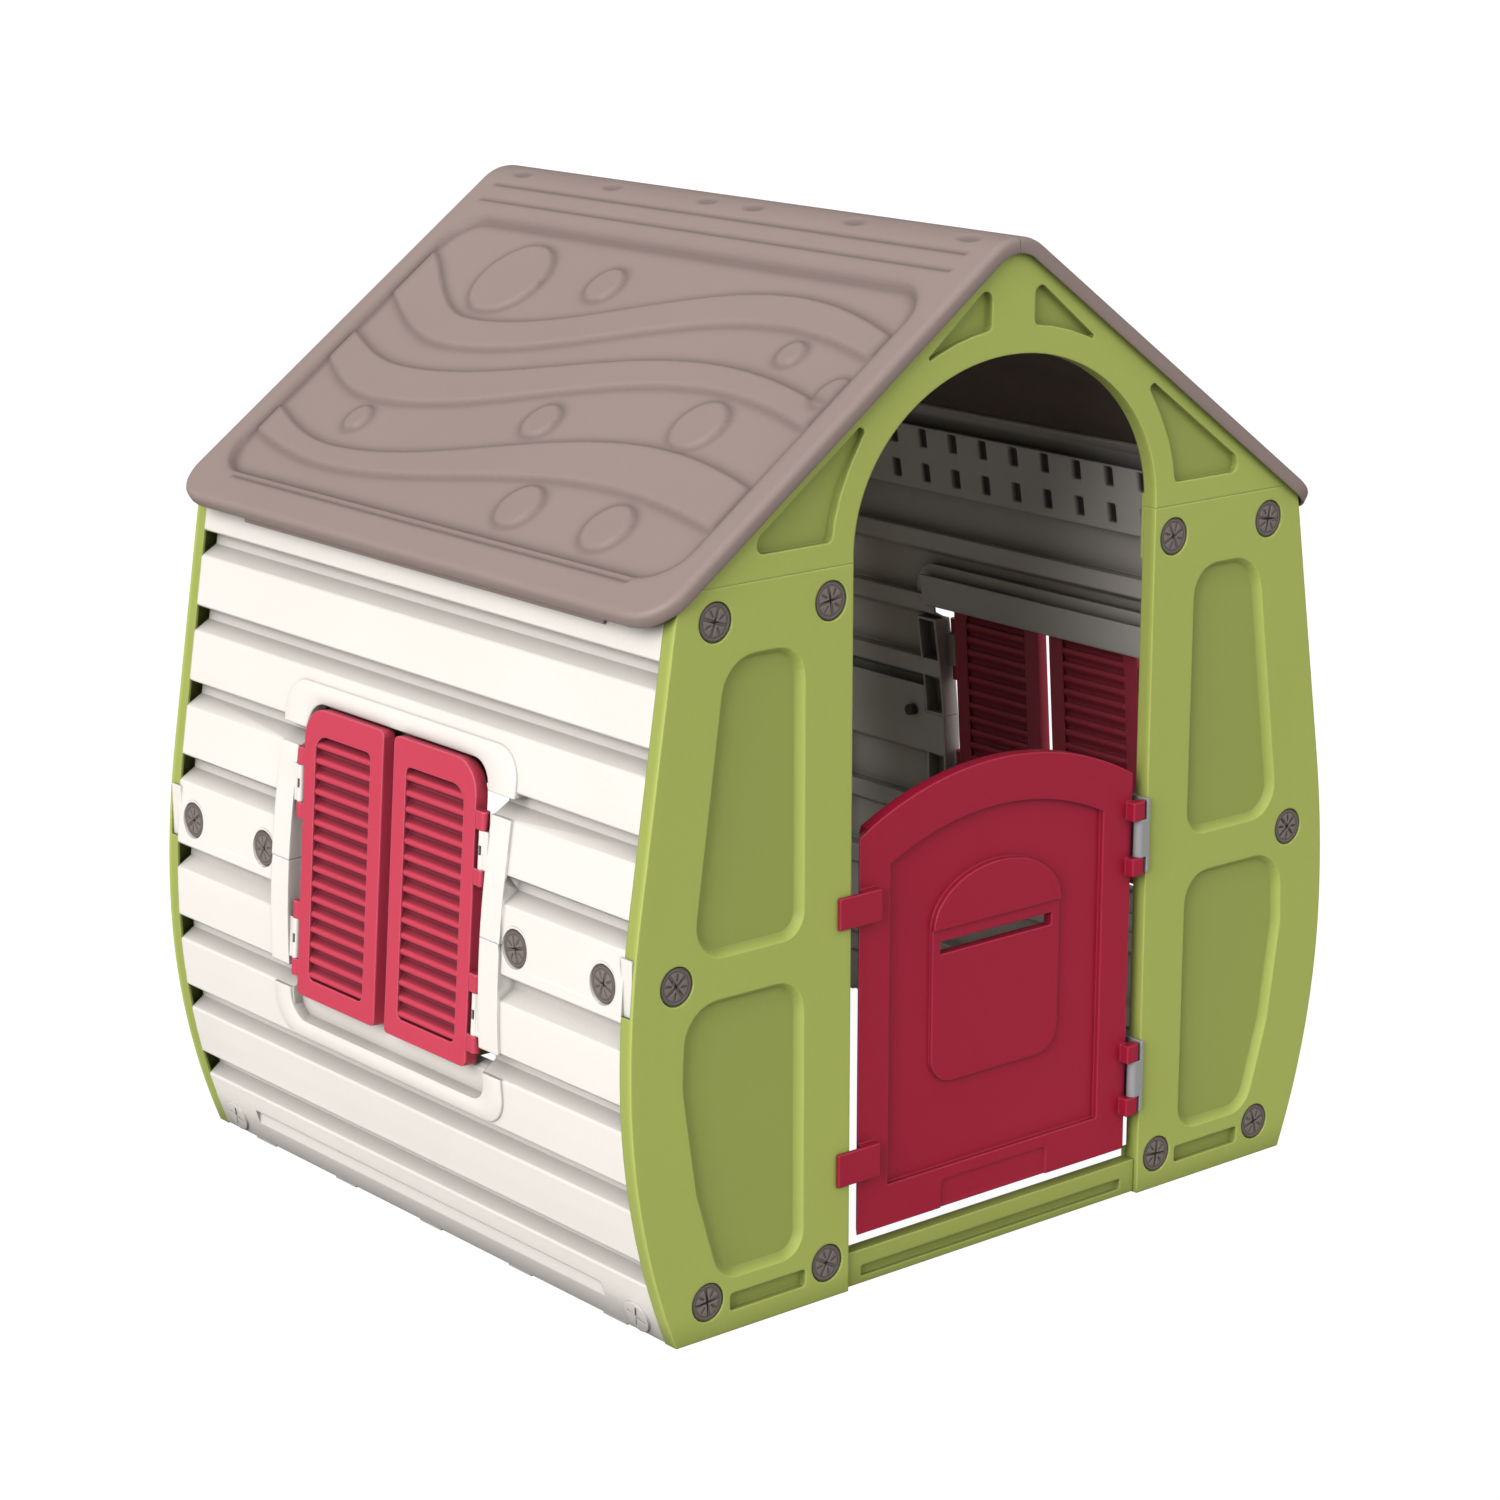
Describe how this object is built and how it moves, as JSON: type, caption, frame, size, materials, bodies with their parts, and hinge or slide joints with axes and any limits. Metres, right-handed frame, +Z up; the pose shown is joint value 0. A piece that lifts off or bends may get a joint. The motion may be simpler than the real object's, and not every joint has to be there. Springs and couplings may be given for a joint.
{
  "type": "children's plastic playhouse",
  "caption": "Moulded plastic outdoor playhouse with barrel-shaped sides, arched doorway, hinged half door, clapboard walls with shuttered windows and a pitched roof.",
  "frame": {"origin": "centre of the footprint at ground level", "axes": "+Z up, +X across the house to the door's hinge side, the doorway faces -Y"},
  "size_m": [1.017, 0.876, 1.0892],
  "materials": {
    "panel_green": "satin lime green moulded plastic",
    "wall_cream": "satin cream moulded plastic",
    "roof_taupe": "satin taupe moulded plastic",
    "door_red": "satin crimson moulded plastic",
    "shutter_pink": "satin raspberry moulded plastic",
    "screw_brown": "satin brown-grey plastic caps",
    "bracket_grey": "satin grey plastic"
  },
  "bodies": {
    "house": {"front_right_panel": "panel_green", "front_left_panel": "panel_green", "front_gable": "panel_green", "front_threshold": "panel_green", "back_left_panel": "panel_green", "back_right_panel": "panel_green", "back_gable": "panel_green", "back_threshold": "panel_green", "front_screws": "screw_brown", "back_screws": "screw_brown", "right_wall_lower": "wall_cream", "right_wall_upper": "wall_cream", "left_wall_lower": "wall_cream", "left_wall_upper": "wall_cream", "right_wall_screws": "screw_brown", "left_wall_screws": "screw_brown", "roof_right": "roof_taupe", "roof_left": "roof_taupe", "upper_door_bracket": "bracket_grey", "lower_door_bracket": "bracket_grey"},
    "door": {"door_leaf": "door_red"},
    "right_back_shutter": {"right_back_shutter": "shutter_pink"},
    "right_front_shutter": {"right_front_shutter": "shutter_pink"},
    "left_back_shutter": {"left_back_shutter": "shutter_pink"},
    "left_front_shutter": {"left_front_shutter": "shutter_pink"}
  },
  "joints": [
    {"name": "door_hinge", "type": "hinge", "parent": "house", "child": "door", "pos_m": [0.204, -0.429, 0.28], "axis": [0, 0, 1], "range_deg": [0, 95]},
    {"name": "right_back_shutter_hinge", "type": "hinge", "parent": "house", "child": "right_back_shutter", "pos_m": [0.49179, 0.168, 0.4], "axis": [-0.0732, 0, 0.9973], "range_deg": [0, 105]},
    {"name": "right_front_shutter_hinge", "type": "hinge", "parent": "house", "child": "right_front_shutter", "pos_m": [0.49179, -0.168, 0.4], "axis": [0.0732, 0, -0.9973], "range_deg": [0, 105]},
    {"name": "left_back_shutter_hinge", "type": "hinge", "parent": "house", "child": "left_back_shutter", "pos_m": [-0.49179, 0.168, 0.4], "axis": [-0.0732, 0, -0.9973], "range_deg": [0, 105]},
    {"name": "left_front_shutter_hinge", "type": "hinge", "parent": "house", "child": "left_front_shutter", "pos_m": [-0.49179, -0.168, 0.4], "axis": [0.0732, 0, 0.9973], "range_deg": [0, 105]}
  ]
}
